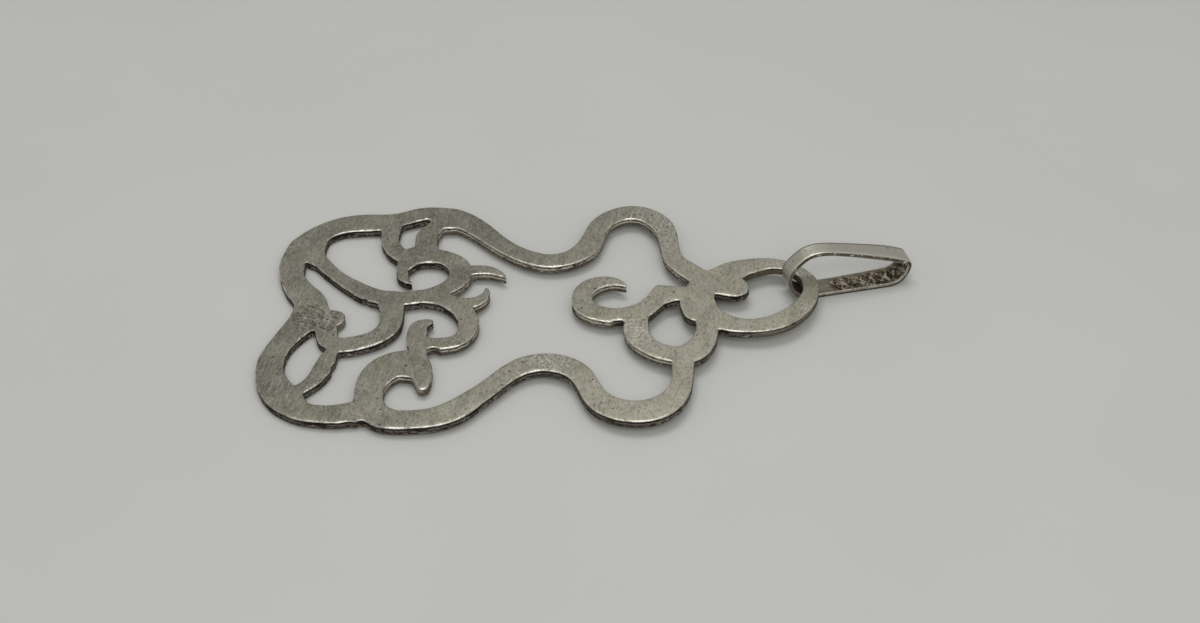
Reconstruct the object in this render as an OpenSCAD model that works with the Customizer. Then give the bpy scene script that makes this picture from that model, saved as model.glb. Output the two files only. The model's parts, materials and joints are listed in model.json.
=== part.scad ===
// Pierced scroll pendant: a sawn silver sheet with a flat loop, and a bent strip bail through that loop.
// It lies as on a table: far side +Y, bail at +X, and the table at z = 0. All sizes are in millimetres.

/* [Plate] */
// Thickness of the sawn sheet
sheet_t = 0.8; // [0.6:0.05:1.0]
// Extra width given to every scroll band
band_extra = 0; // [-0.1:0.05:0.1]
// Steps that a band's curve takes between two rows of its table
band_steps = 4; // [3:1:6]

/* [Bail] */
// Thickness of the bail's strip
strip_t = 0.45; // [0.4:0.05:0.5]
// Width of the strip where it lies on the table
strip_w = 2.35; // [2.0:0.05:2.4]
// How far the strip's near edge steps in at the top of the bail
strip_taper = 0.7; // [0:0.1:1]
// Angle of the bail to the length of the pendant
bail_yaw = 13.5; // [12:0.5:16]
// Height of the loop's underside above the table, where the bail's strip passes under it
loop_lift = 1.08; // [1.05:0.01:1.2]

/* [Colour] */
// Colour of the plate
plate_colour = "#8b877b"; // ["#8b877b":tarnished silver, "#c9c7c1":polished silver]
// Colour of the bail
bail_colour = "#999488"; // ["#999488":tarnished silver, "#d2d0ca":polished silver]

/* [Hidden] */

// The tables below are measured from a point near the plate's middle, and the whole is then centred
whole_mid = [-0.6435, -1.019];
plate_left = -31.4;
plate_tilt = atan(loop_lift / (20.1 - plate_left));

// Bail: where the near edge of its strip crosses the loop, and its side outline as x, z rows
bail_foot = [21.0, 2.15];
bail_top_z = 4.87;
bail_side = [
    [-0.8, 0.0],
    [-1.9, 0.25],
    [-2.75, 1.0],
    [-3.15, 2.15],
    [-2.85, 3.1],
    [-2.1, 3.95],
    [-1.2, 4.6],
    [-0.1, 4.87],
    [1.4, 4.75],
    [3.4, 4.3],
    [5.5, 3.75],
    [7.6, 3.15],
    [9.0, 2.65],
    [9.45, 2.3],
    [9.35, 1.6],
    [8.9, 0.8],
    [8.3, 0.3],
    [7.3, 0.03],
    [5.0, 0.0],
    [2.0, 0.0]
];
// How far each side of the strip stands from bail_foot: the far edge as x, y rows and the near as y, z rows
strip_far = [
    [12, strip_w + 0.2],
    [9.3, strip_w + 0.25],
    [7, strip_w + 0.3],
    [5, strip_w + 0.15],
    [2, strip_w],
    [-5, strip_w - 0.05]
];
strip_near = [
    [0, 0],
    [0.3 * strip_taper, 1.6],
    [0.7 * strip_taper, 3.2],
    [strip_taper, bail_top_z]
];

// Scroll bands of the plate. Each row is x, y and width of the band there, along its middle line.
// Outer edge of the far side, from the crossing over two humps to the far lobe
far_frame = [
    [10.0, 3.0, 2.3],
    [8.35, 4.75, 2.25],
    [7.3, 6.2, 1.95],
    [6.9, 8.2, 1.8],
    [6.7, 10.4, 2.0],
    [6.2, 12.1, 2.25],
    [5.0, 13.7, 2.3],
    [3.1, 14.4, 2.3],
    [1.2, 13.65, 2.2],
    [0.0, 12.2, 2.15],
    [-0.65, 10.2, 2.2],
    [-1.3, 8.45, 2.4],
    [-2.7, 7.0, 2.2],
    [-4.7, 6.4, 2.1],
    [-6.6, 6.9, 2.1],
    [-8.6, 8.2, 1.95],
    [-10.3, 9.9, 2.1],
    [-11.8, 11.7, 2.35],
    [-13.6, 13.35, 2.75],
    [-15.2, 13.95, 3.5],
    [-17.0, 14.85, 2.15],
    [-18.5, 14.55, 2.15],
    [-19.5, 14.1, 2.1],
    [-20.8, 13.6, 2.4]
];
// Far lobe, round the left end
far_lobe = [
    [-20.9, 13.45, 2.6],
    [-22.2, 13.38, 2.75],
    [-24.2, 13.33, 2.85],
    [-26.25, 12.85, 2.65],
    [-28.0, 11.45, 2.75],
    [-28.95, 9.5, 3.75],
    [-29.95, 7.4, 2.7],
    [-30.0, 5.8, 2.5],
    [-29.7, 4.2, 2.4],
    [-28.9, 2.5, 2.7],
    [-27.7, 0.8, 3.0],
    [-27.3, -1.0, 3.4],
    [-27.0, -2.4, 3.0]
];
// Near lobe, round the left end
near_lobe = [
    [-27.35, -0.55, 3.3],
    [-27.75, -2.3, 3.2],
    [-28.6, -3.9, 2.7],
    [-29.5, -5.8, 2.4],
    [-30.1, -8.0, 2.5],
    [-30.0, -10.0, 2.65],
    [-29.3, -12.0, 3.0],
    [-28.0, -13.8, 3.2],
    [-26.6, -15.3, 2.35],
    [-24.9, -15.75, 2.3],
    [-23.2, -15.8, 2.5],
    [-21.5, -15.5, 2.9]
];
// Outer edge of the near side, from the comma over the near humps up to the ring
near_frame = [
    [-20.1, -15.6, 2.6],
    [-19.15, -16.35, 2.65],
    [-18.2, -16.65, 2.5],
    [-16.8, -16.7, 2.4],
    [-15.3, -16.55, 2.5],
    [-13.9, -16.1, 2.6],
    [-12.65, -15.35, 2.6],
    [-11.55, -14.25, 2.35],
    [-10.4, -13.05, 2.15],
    [-9.3, -11.75, 2.1],
    [-8.1, -10.4, 2.2],
    [-6.7, -9.4, 2.4],
    [-5.2, -9.05, 2.45],
    [-3.8, -9.3, 2.5],
    [-2.5, -10.0, 2.35],
    [-1.6, -11.1, 2.25],
    [-1.05, -12.4, 2.15],
    [-0.5, -13.8, 2.3],
    [0.4, -15.0, 2.6],
    [1.7, -15.8, 2.8],
    [3.2, -16.1, 2.85],
    [4.7, -15.85, 2.85],
    [6.0, -15.0, 2.6],
    [7.0, -13.5, 2.2],
    [7.4, -12.0, 1.95],
    [7.55, -10.4, 2.0],
    [7.6, -8.6, 2.1]
];
// Knob inside the left end, and its short leg
knob = [
    [-27.6, -1.9, 3.4],
    [-26.6, -2.2, 3.0],
    [-25.1, -2.1, 2.4]
];
knob_leg = [
    [-26.2, -2.4, 2.6],
    [-25.6, -3.7, 2.1],
    [-25.35, -4.9, 2.1],
    [-25.2, -5.5, 1.9]
];
// Slanting stem from the far lobe, which turns back on itself in the middle of the plate
stem = [
    [-28.2, 8.6, 2.3],
    [-27.95, 7.6, 2.1],
    [-27.2, 6.8, 1.6],
    [-26.4, 5.7, 1.5],
    [-25.4, 4.5, 1.45],
    [-24.4, 3.5, 1.6],
    [-23.4, 2.65, 1.75],
    [-22.3, 1.75, 2.0],
    [-20.8, 1.05, 2.0],
    [-18.8, 0.8, 2.0],
    [-16.8, 1.1, 2.0],
    [-15.2, 0.7, 1.9],
    [-13.9, -0.1, 2.0],
    [-12.9, -1.3, 2.0],
    [-12.3, -2.8, 2.0],
    [-12.3, -4.1, 1.85],
    [-12.7, -5.2, 1.7],
    [-13.5, -5.9, 1.65],
    [-14.7, -6.15, 1.65],
    [-16.2, -6.1, 1.8]
];
// Small curl at the stem's end
curl = [
    [-16.75, -8.9, 2.4],
    [-16.7, -7.9, 1.8],
    [-16.7, -7.1, 1.65],
    [-16.9, -5.9, 1.95],
    [-17.0, -4.6, 1.95],
    [-16.85, -3.5, 1.75],
    [-16.3, -3.0, 1.15],
    [-15.95, -2.9, 0.8]
];
// Comma below the curl, with its point inwards
comma = [
    [-20.55, -15.2, 3.2],
    [-20.65, -13.8, 2.7],
    [-20.7, -12.4, 2.75],
    [-20.4, -11.1, 3.05],
    [-19.5, -9.6, 3.45],
    [-18.2, -8.8, 3.4],
    [-17.1, -9.0, 3.2],
    [-16.4, -9.8, 2.5],
    [-16.05, -11.0, 1.8],
    [-15.95, -11.7, 1.45],
    [-15.95, -12.15, 1.15]
];
comma_heart = [
    [-18.9, -9.6, 2.45],
    [-17.9, -9.65, 2.35],
    [-17.2, -9.9, 2.1]
];
// Arc from the stem round to the knob's leg, and its tail down to the near lobe
branch = [
    [-19.9, 0.9, 2.3],
    [-19.75, -0.7, 2.5],
    [-19.55, -2.2, 2.15],
    [-19.75, -3.6, 2.2],
    [-20.6, -4.9, 2.0],
    [-21.9, -5.6, 2.0],
    [-23.3, -6.05, 2.1],
    [-24.4, -6.1, 2.1]
];
tail = [
    [-24.4, -5.9, 1.5],
    [-24.58, -6.8, 1.2],
    [-24.93, -7.9, 1.6],
    [-25.15, -9.0, 1.8],
    [-25.45, -10.1, 1.8],
    [-25.95, -11.2, 1.5],
    [-26.8, -12.2, 1.4],
    [-27.8, -13.0, 1.6]
];
// Hooked scroll under the far side, with the bar and the link that carry it
far_scroll = [
    [-18.15, 3.15, 0.3],
    [-18.75, 3.65, 0.75],
    [-19.05, 4.4, 1.2],
    [-19.2, 5.3, 1.2],
    [-18.85, 6.4, 1.95],
    [-18.2, 7.6, 2.95],
    [-16.9, 7.65, 2.35],
    [-15.15, 7.25, 2.1],
    [-14.05, 6.35, 2.2],
    [-13.55, 5.2, 2.2],
    [-13.5, 4.0, 2.2],
    [-14.1, 2.9, 2.0],
    [-15.2, 1.9, 1.9],
    [-16.4, 1.3, 1.8]
];
bar = [
    [-20.9, 13.2, 2.4],
    [-20.85, 11.5, 1.85],
    [-20.8, 10.2, 1.8],
    [-20.5, 9.2, 1.75],
    [-19.9, 8.2, 1.8],
    [-18.8, 7.2, 1.8]
];
link = [
    [-15.6, 13.8, 2.4],
    [-16.4, 12.5, 1.8],
    [-17.1, 11.2, 2.25],
    [-17.2, 10.0, 2.25],
    [-17.1, 8.9, 2.3],
    [-17.0, 7.8, 2.4]
];
// Two horns that point into the middle opening
far_horn = [
    [-13.2, 5.0, 1.8],
    [-12.2, 5.15, 1.45],
    [-11.3, 5.2, 1.35],
    [-10.5, 5.0, 1.15],
    [-9.8, 4.55, 0.85],
    [-9.35, 4.15, 0.5],
    [-9.1, 3.85, 0.25]
];
near_horn = [
    [-13.2, -0.2, 1.9],
    [-12.3, -0.05, 1.6],
    [-11.55, 0.2, 1.35],
    [-11.05, 0.8, 1.05],
    [-10.8, 1.5, 0.7],
    [-10.85, 2.05, 0.4]
];
// Hook beside the crossing, which runs up into it
right_hook = [
    [2.45, 2.15, 0.3],
    [2.0, 2.6, 0.85],
    [1.2, 2.95, 1.3],
    [0.2, 2.9, 1.7],
    [-0.75, 2.45, 1.95],
    [-1.5, 1.5, 1.95],
    [-1.7, 0.3, 2.0],
    [-1.5, -0.8, 2.15],
    [-0.7, -1.7, 2.2],
    [0.5, -2.2, 2.15],
    [1.8, -2.35, 2.1],
    [3.2, -2.05, 2.3],
    [4.3, -1.4, 2.15],
    [5.3, -0.1, 2.0],
    [6.2, 1.0, 2.0]
];
// Corner where that hook joins the crossing, as x, y points
hook_corner = [
    [4.45, 0.45],
    [5.1, 1.8],
    [5.35, 2.2],
    [5.7, 2.25],
    [8.4, 1.8],
    [8.4, -0.2],
    [7.2, -0.2],
    [6.2, -0.6]
];
// Ring under the crossing, and the trunk of the crossing with the bud that hangs into that ring
ring = [
    [3.4, -2.6, 2.4],
    [3.35, -4.0, 2.4],
    [3.5, -5.4, 2.35],
    [4.3, -6.8, 2.15],
    [5.6, -7.8, 2.1],
    [7.1, -8.25, 2.2],
    [8.5, -7.9, 2.7],
    [9.55, -6.4, 2.35],
    [9.95, -4.9, 2.1],
    [10.1, -3.4, 2.3],
    [10.0, -2.0, 2.2]
];
trunk = [
    [9.9, 2.8, 2.2],
    [9.6, 1.5, 2.9],
    [9.25, 0.0, 3.2],
    [9.3, -1.0, 3.5],
    [9.25, -1.9, 3.0]
];
// Loop that carries the bail, and the round-ended scroll inside it
loop_band = [
    [10.4, 3.0, 2.4],
    [11.6, 3.65, 2.5],
    [12.9, 4.35, 2.9],
    [13.95, 4.85, 2.45],
    [15.2, 5.2, 2.1],
    [16.4, 5.4, 1.7],
    [17.6, 5.2, 1.45],
    [18.7, 4.65, 1.3],
    [19.5, 3.7, 1.3],
    [20.1, 2.5, 1.5],
    [20.1, 1.0, 1.55],
    [19.65, -0.4, 1.75],
    [18.7, -1.85, 2.0],
    [17.3, -3.2, 2.1],
    [15.65, -4.0, 2.05],
    [13.8, -4.2, 1.95],
    [12.2, -3.9, 2.2],
    [10.8, -3.0, 2.4],
    [9.8, -1.4, 2.4]
];
loop_scroll = [
    [10.2, 2.3, 2.9],
    [11.5, 2.1, 2.9],
    [12.85, 1.7, 2.95]
];
loop_web = [
    [12.6, 2.9, 1.3],
    [13.4, 3.1, 0.7]
];
SCROLLS = [
    far_frame, far_lobe, near_lobe, near_frame, knob, knob_leg, stem, curl, comma, comma_heart,
    branch, tail, far_scroll, bar, link, far_horn, near_horn, right_hook, ring, trunk, loop_band,
    loop_scroll, loop_web
];

// Point at share t of the way from row b to row c on a smooth curve through a, b, c and d
function curve_point(a, b, c, d, t) =
    0.5 * (2 * b + (c - a) * t + (2 * a - 5 * b + 4 * c - d) * t * t + (3 * b - a - 3 * c + d) * t * t * t);

// Rows of an open table, with steps - 1 smooth rows put in between each two
function open_curve(rows, steps) = concat(
    [for (i = [0:len(rows) - 2], k = [0:steps - 1]) curve_point(
        rows[max(i - 1, 0)], rows[i], rows[i + 1], rows[min(i + 2, len(rows) - 1)], k / steps)],
    [rows[len(rows) - 1]]);

// The same round a closed table
function closed_curve(rows, steps) = let (n = len(rows))
    [for (i = [0:n - 1], k = [0:steps - 1]) curve_point(
        rows[(i + n - 1) % n], rows[i], rows[(i + 1) % n], rows[(i + 2) % n], k / steps)];

// Way that a band takes at its row i, as an angle
function way(rows, i) = let (ahead = rows[min(i + 1, len(rows) - 1)] - rows[max(i - 1, 0)])
    atan2(ahead.y, ahead.x);

// Point on a band's edge beside row i, at an angle from the way ahead: 90 is its left edge and -90 its right
function edge_point(rows, i, angle) = let (a = way(rows, i) + angle)
    [rows[i].x + rows[i].z / 2 * cos(a), rows[i].y + rows[i].z / 2 * sin(a)];

// One scroll band with round ends, and a disc on every inner row that fills its tight bends
module band(table) {
    rows = open_curve(table, band_steps);
    last = len(rows) - 1;
    for (i = [0:last - 1])
        polygon([edge_point(rows, i, 90), edge_point(rows, i + 1, 90),
                 edge_point(rows, i + 1, -90), edge_point(rows, i, -90)]);
    polygon([for (a = [90:22.5:270]) edge_point(rows, 0, a)]);
    polygon([for (a = [-90:22.5:90]) edge_point(rows, last, a)]);
    for (i = [1:last - 1])
        translate([rows[i].x, rows[i].y]) circle(d = 0.9 * rows[i].z, $fn = 24);
}

// All bands together as one sawn outline
module plate_outline() {
    offset(delta = band_extra / 2) {
        for (table = SCROLLS) band(table);
        polygon(hook_corner);
    }
}

// Everything is drawn about plate_left and then moved so that the whole object is centred
module centred() {
    translate([-whole_mid.x, -whole_mid.y, 0]) children();
}

module plate() color(plate_colour)
    centred() translate([plate_left, 0, 0]) rotate([0, -plate_tilt, 0]) translate([-plate_left, 0, 0])
        linear_extrude(sheet_t) plate_outline();

// Side view of the bail's closed strip
module bail_outline() {
    rows = closed_curve(bail_side, 4);
    difference() {
        polygon(rows);
        offset(r = -strip_t, $fn = 24) polygon(rows);
    }
}

module bail() color(bail_colour)
    centred() translate([bail_foot.x, bail_foot.y, 0]) rotate([0, 0, bail_yaw]) intersection() {
        translate([0, strip_w + 1, 0]) rotate([90, 0, 0]) linear_extrude(strip_w + 1) bail_outline();
        linear_extrude(bail_top_z + 1) polygon(concat([[-5, 0], [12, 0]], strip_far));
        translate([-5, 0, 0]) rotate([90, 0, 90]) linear_extrude(17)
            polygon(concat(strip_near, [[strip_taper, bail_top_z + 1], [strip_w + 1, bail_top_z + 1],
                                        [strip_w + 1, 0]]));
    }

plate();
bail();
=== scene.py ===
"""Pierced scroll pendant: a sawn, tarnished silver sheet and its bent strip bail, lying on a pale surface."""

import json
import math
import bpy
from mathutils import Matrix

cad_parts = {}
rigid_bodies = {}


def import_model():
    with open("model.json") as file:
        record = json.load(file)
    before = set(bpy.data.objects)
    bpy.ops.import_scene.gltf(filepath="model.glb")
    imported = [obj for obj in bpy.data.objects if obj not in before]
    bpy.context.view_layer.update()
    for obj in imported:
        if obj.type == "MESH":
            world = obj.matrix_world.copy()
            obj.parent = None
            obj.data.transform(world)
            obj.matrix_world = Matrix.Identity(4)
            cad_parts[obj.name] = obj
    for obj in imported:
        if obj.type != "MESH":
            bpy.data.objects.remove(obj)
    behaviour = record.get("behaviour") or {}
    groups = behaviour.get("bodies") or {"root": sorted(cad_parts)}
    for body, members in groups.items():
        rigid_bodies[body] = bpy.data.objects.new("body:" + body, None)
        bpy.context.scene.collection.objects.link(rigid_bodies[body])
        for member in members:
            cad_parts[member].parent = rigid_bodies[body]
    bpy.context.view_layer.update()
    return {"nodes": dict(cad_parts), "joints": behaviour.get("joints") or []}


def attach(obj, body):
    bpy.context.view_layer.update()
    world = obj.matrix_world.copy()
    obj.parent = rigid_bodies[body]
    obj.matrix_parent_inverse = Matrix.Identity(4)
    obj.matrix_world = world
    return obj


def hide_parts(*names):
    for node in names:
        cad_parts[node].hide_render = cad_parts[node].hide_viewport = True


bl_info = {
    "name": "Pierced Scroll Pendant",
    "version": (1, 0, 0),
    "blender": (4, 5, 0),
    "location": "3D View > Sidebar > Pendant",
    "description": "Builds the sawn silver plate, its strip bail and a soft studio stage",
    "category": "Add Mesh",
}

from collections import namedtuple
from types import SimpleNamespace

import bmesh
import bpy
import numpy as np
from bpy.props import FloatProperty, FloatVectorProperty, IntProperty, PointerProperty
from bpy.types import Operator, Panel, PropertyGroup
from mathutils import Vector, kdtree, noise
from mathutils.geometry import delaunay_2d_cdt

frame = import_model()

MM = 0.001
PLATE, BAIL = "plate", "bail"
SWING = frame["joints"][0]


# Reading the fixed frame


def cad_faces(name):
    """Points in millimetres and triangles of a CAD node, with its doubled points joined."""
    bm = bmesh.new()
    bm.from_mesh(frame["nodes"][name].data)
    bmesh.ops.remove_doubles(bm, verts=bm.verts, dist=2e-7)
    bmesh.ops.triangulate(bm, faces=bm.faces)
    bm.verts.index_update()
    points = np.array([v.co for v in bm.verts]) / MM
    faces = np.array([[v.index for v in f.verts] for f in bm.faces])
    bm.free()
    return points, faces


def face_normals(points, faces):
    a, b, c = (points[faces[:, k]] for k in range(3))
    cross = np.cross(b - a, c - a)
    return cross / np.maximum(np.linalg.norm(cross, axis=1, keepdims=True), 1e-12)


def rims(faces):
    """Closed rings of points round a patch of triangles, with the patch on each ring's left."""
    ways = dict.fromkeys(pair for a, b, c in faces for pair in ((a, b), (b, c), (c, a)))
    after = {a: b for a, b in ways if (b, a) not in ways}
    rings = []
    while after:
        start = next(iter(after))
        ring, here = [start], after.pop(start)
        while here != start:
            ring.append(here)
            here = after.pop(here)
        rings.append(ring)
    return sorted(rings, key=len, reverse=True)


# Rings of points


def resample(ring, count):
    """The closed ring as that many evenly spaced points. Extra columns follow along."""
    closed = np.vstack([ring, ring[:1]])
    run = np.concatenate([[0], np.cumsum(np.linalg.norm(np.diff(closed[:, :2], axis=0), axis=1))])
    at = np.linspace(0, run[-1], count, endpoint=False)
    return np.stack([np.interp(at, run, closed[:, k]) for k in range(closed.shape[1])], -1)


def length(ring):
    return float(np.linalg.norm(np.roll(ring, -1, 0) - ring, axis=1).sum())


def area(ring):
    """Area inside the ring, below 0 where the ring runs clockwise."""
    x, y = ring[:, 0], ring[:, 1]
    return 0.5 * float(np.sum(x * np.roll(y, -1) - y * np.roll(x, -1)))


def soften(ring, width):
    """Evens a closed ring out with a bell curve of that many points."""
    reach = int(math.ceil(3 * width))
    weights = np.exp(-0.5 * (np.arange(-reach, reach + 1) / width) ** 2)
    weights /= weights.sum()
    return sum(w * np.roll(ring, k - reach, 0) for k, w in enumerate(weights))


def soften_values(values, width):
    """Evens out one value for each point of a closed ring."""
    return soften(values[:, None], width)[:, 0]


def outward(ring):
    """Unit normals that point to the right of the ring's way, out of the metal."""
    along = np.roll(ring, -1, 0) - np.roll(ring, 1, 0)
    side = np.stack([along[:, 1], -along[:, 0]], -1)
    return side / np.maximum(np.linalg.norm(side, axis=1, keepdims=True), 1e-12)


def saw_line(ring, step, tight, loose):
    """The ring's points evened out: widely in its open bends, and only a little at its sharp corners."""
    even = resample(ring, max(24, round(length(ring) / step)))
    sharp, smooth = soften(even, tight / step), soften(even, loose / step)
    # A corner is where the two lines part, and its share reaches a few points to both sides
    corner = np.clip(np.linalg.norm(sharp - smooth, axis=1) / (0.2 * loose) - 0.35, 0, 1)
    corner = np.max([np.roll(corner, k) for k in range(-3, 4)], axis=0)
    share = soften((corner * corner * (3 - 2 * corner))[:, None], 2.5)
    return sharp * share + smooth * (1 - share)


def tip_radius(ring, reach):
    """Smallest radius of the metal's outward bends near each point, large where it is straight or hollow."""
    along = np.roll(ring, -1, 0) - ring
    before = np.roll(along, 1, 0)
    turn = np.arctan2(before[:, 0] * along[:, 1] - before[:, 1] * along[:, 0], (before * along).sum(1))
    step = 0.5 * (np.linalg.norm(along, axis=1) + np.linalg.norm(before, axis=1))
    radius = step / np.maximum(turn, 1e-3)
    return np.min([np.roll(radius, k) for k in range(-reach, reach + 1)], axis=0)


def grain(points, size, seed, octaves=1):
    """Smooth noise from -1 to 1 at the points, in millimetres, with lumps of that size."""
    shift = Vector((seed * 7.3, seed * 3.1, seed * 5.7))
    total = np.zeros(len(points))
    for octave in range(octaves):
        scale = 2.0**octave / np.broadcast_to(np.asarray(size, float), 3)
        lumps = [noise.noise(Vector(q) + shift) for q in points * scale]
        total += np.array(lumps) / 2.0**octave
    return total


def flat_points(points):
    """The x, y points as x, y, 0."""
    return np.c_[points, np.zeros(len(points))]


def inside(points, rings):
    """Which x, y points lie inside the rings, counted as outlines and holes together."""
    odd = np.zeros(len(points), bool)
    x, y = points[:, 0], points[:, 1]
    for ring in rings:
        for (x0, y0), (x1, y1) in zip(ring, np.roll(ring, -1, 0)):
            if y0 != y1:
                crossed = (y0 > y) != (y1 > y)
                odd ^= crossed & (x < (x1 - x0) * (y - y0) / (y1 - y0) + x0)
    return odd


def nearest_tree(points):
    """A search tree over the points' first two columns."""
    tree = kdtree.KDTree(len(points))
    for k, p in enumerate(points):
        tree.insert((p[0], p[1], 0), k)
    tree.balance()
    return tree


def new_piece(name, points, faces, marks, material):
    """A mesh object from points in millimetres, with one float attribute for each mark."""
    mesh = bpy.data.meshes.new(name)
    mesh.from_pydata((points * MM).tolist(), [], [list(map(int, f)) for f in faces])
    mesh.validate()
    for mark, values in marks.items():
        attribute = mesh.attributes.new(mark, "FLOAT", "POINT")
        attribute.data.foreach_set("value", np.asarray(values, np.float32))
    mesh.shade_smooth()
    mesh.materials.append(material)
    piece = bpy.data.objects.new(name, mesh)
    bpy.context.scene.collection.objects.link(piece)
    return piece


# Places on the plate, as x, y and radius in millimetres

# Where the saw jumped and left a torn edge
TORN = (
    (-22.9, -10.2, 1.3),
    (-23.4, -8.2, 0.9),
    (-21.9, 1.3, 1.3),
    (-20.7, -0.2, 0.9),
    (-21.1, -15.7, 1.2),
    (14.5, 4.9, 0.7),
    (-24.3, -3.4, 0.9),
)
# Where it cut a deep notch, and the dark spot laid over each
NOTCHES = ((2.35, -2.3, 0.75), (-14.7, -6.0, 0.6))
NOTCH_DARK = ((2.45, -2.5, 0.7), (-14.6, -6.2, 0.7))
# Parts of the scrollwork with scratches, wear or tones of their own
FAR_HUMP = (5.5, 13.0, 4.6)
NEAR_FRAME = (-4.2, -7.4, 2.6)
HOOK_RING = (3.4, -3.6, 2.6)
FAR_LOBE = (-28, 8, 9)
ROUGH_WAIST = (-25.9, -1.2, 3.2)
WAIST_KNOB = (-23.5, -1.6, 1.2)


def near_spots(points, spots):
    """1 in the middle of any of the spots, falling to 0 at its radius."""
    share = np.zeros(len(points))
    for x, y, radius in spots:
        share = np.maximum(share, 1 - np.hypot(points[:, 0] - x, points[:, 1] - y) / radius)
    return share


# Plate

# A row of points down the cut edge: how far in from the saw line, how far below the top, and its marks
Row = namedtuple("Row", "back depth rim wall ridge")
# The worn rim's rows: degrees round it, and how much of the rubbing and its painted highlight is there
RIM_ROWS = ((22, 0.75), (45, 1), (68, 1), (90, 0.3))
# The cut edge's rows: share of its height, depth of the saw marks, and the ridge where it broke through
CUT_ROWS = (
    (0.10, 0.9, 0),
    (0.22, 1.1, 0),
    (0.32, 0.8, 0.1),
    (0.38, 0.3, 1),
    (0.50, 0.25, 1),
    (0.56, 0.5, 0.1),
    (0.74, 0.6, 0),
    (0.88, 0.4, 0),
)
LOW_RIM_ROWS = (90, 50, 0)


class Sheet:
    """The sawn sheet's own plane, read from the CAD plate: u along it, v across it and w up through it."""

    def __init__(self):
        points, faces = cad_faces(PLATE)
        normals = face_normals(points, faces)
        up = normals[normals[:, 2] > 0.99].mean(0)
        self.up = up / np.linalg.norm(up)
        self.along = np.array([self.up[2], 0, -self.up[0]])
        self.base = float((points @ self.up).min())
        self.thick = float((points @ self.up).max()) - self.base
        top = faces[normals @ self.up > 0.99]
        flat = np.stack([points @ self.along, points[:, 1]], -1)
        self.rings = [flat[ring] for ring in rims(top)]

    def place(self, uv, w):
        height = self.base + np.broadcast_to(w, len(uv))
        return uv[:, :1] * self.along + uv[:, 1:2] * np.array([0, 1, 0]) + height[:, None] * self.up


def lattice(rings, spacing, seed):
    """Jittered inner points between the rings, kept clear of them."""
    every = np.vstack(rings)
    low, high = every.min(0), every.max(0)
    row_gap = 0.866 * spacing
    x, y = np.meshgrid(np.arange(low[0], high[0], spacing), np.arange(low[1], high[1], row_gap))
    x[1::2] += spacing / 2
    points = np.stack([x.ravel(), y.ravel()], -1)
    points = points[inside(points, rings)]
    points += np.random.default_rng(seed).uniform(-0.2, 0.2, points.shape) * spacing
    tree = nearest_tree(every)
    return points[[tree.find((x, y, 0))[2] > 0.55 * spacing for x, y in points]]


def cap(rings, spacing, seed):
    """Triangles that fill the flat between the rings: all its points, rings first, and the faces."""
    points = np.vstack(rings + [lattice(rings, spacing, seed)])
    edges, start = [], 0
    for ring in rings:
        edges += [(start + k, start + (k + 1) % len(ring)) for k in range(len(ring))]
        start += len(ring)
    out, _, faces, origin, _, _ = delaunay_2d_cdt([Vector(p) for p in points], edges, [], 0, 1e-7)
    if len(out) != len(points):
        raise RuntimeError(f"the rim crosses itself: {len(points)} points became {len(out)}")
    back = np.array([o[0] for o in origin])
    faces = back[np.array(faces)]
    faces = faces[inside(points[faces].mean(1), rings)]
    a, b, c = (points[faces[:, k]] for k in range(3))
    turned = (b[:, 0] - a[:, 0]) * (c[:, 1] - a[:, 1]) - (b[:, 1] - a[:, 1]) * (c[:, 0] - a[:, 0]) < 0
    faces[turned] = faces[turned][:, ::-1]
    return points, faces


def sawn_ring(ring, mm):
    """A ring of the CAD outline as the saw left it: wandering, torn in places and with deep notches."""
    even = saw_line(ring, mm.ring_step, mm.saw_round, mm.bend_round)
    spot = flat_points(even)
    wander = 0.5 + 0.5 * np.clip(grain(spot, 1.6, 1, 2) + 0.5 * grain(spot, 0.45, 14), -1, 1)
    torn = np.sqrt(near_spots(even, TORN)) * np.clip(0.2 + 2.2 * grain(spot, 0.34, 15), 0, 1)
    notched = np.clip(1.6 * near_spots(even, NOTCHES), 0, 1)
    cut = mm.saw_wobble * wander + mm.saw_tear * torn + mm.notch * notched
    return soften(even - outward(even) * cut[:, None], 0.7)


def edge_rows(flat, facing, room, thick, mm):
    """The rows down the cut edge, from the top face over the worn rim to the underside."""
    worn = np.clip(0.5 + 0.9 * grain(flat_points(flat), 1.1, 2, 3), 0, 1)
    top_r = mm.rim_round * (0.6 + 0.7 * worn) * (0.68 + 0.4 * np.clip(2 * facing, -0.9, 0.8))
    top_r = np.minimum(top_r, room)
    low_r = np.minimum(0.5 * mm.rim_round, room)
    rows = [Row(top_r, 0 * top_r, 0, 0, 0)]
    for angle, rim in RIM_ROWS:
        a = math.radians(angle)
        rows.append(Row(top_r * (1 - math.sin(a)), top_r * (1 - math.cos(a)), rim, int(angle == 90), 0))
    for share, dip, ridge in CUT_ROWS:
        depth = top_r + (thick - top_r - low_r) * share
        chips = grain(np.c_[flat, 0.3 * depth], 0.17, 3) + 0.6 * grain(np.c_[flat, 0.5 * depth], 0.55, 4, 2)
        cut = np.clip(dip + 0.55 * chips, 0, 1.6)
        rows.append(Row(mm.wall_rough * cut, depth, 0, 1, ridge))
    for angle in LOW_RIM_ROWS:
        a = math.radians(angle)
        rows.append(Row(low_r * (1 - math.sin(a)), thick - low_r * (1 - math.cos(a)), 0, 1, 0))
    return rows


def face_waves(points, seed, high):
    """How far hand work lowered the flat faces."""
    p = flat_points(points)
    swell = np.clip(grain(p, 3.5, seed, 2) + 0.35 * grain(p, 0.8, seed + 1, 2), -1, 1)
    return high * (0.5 + 0.5 * swell)


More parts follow.
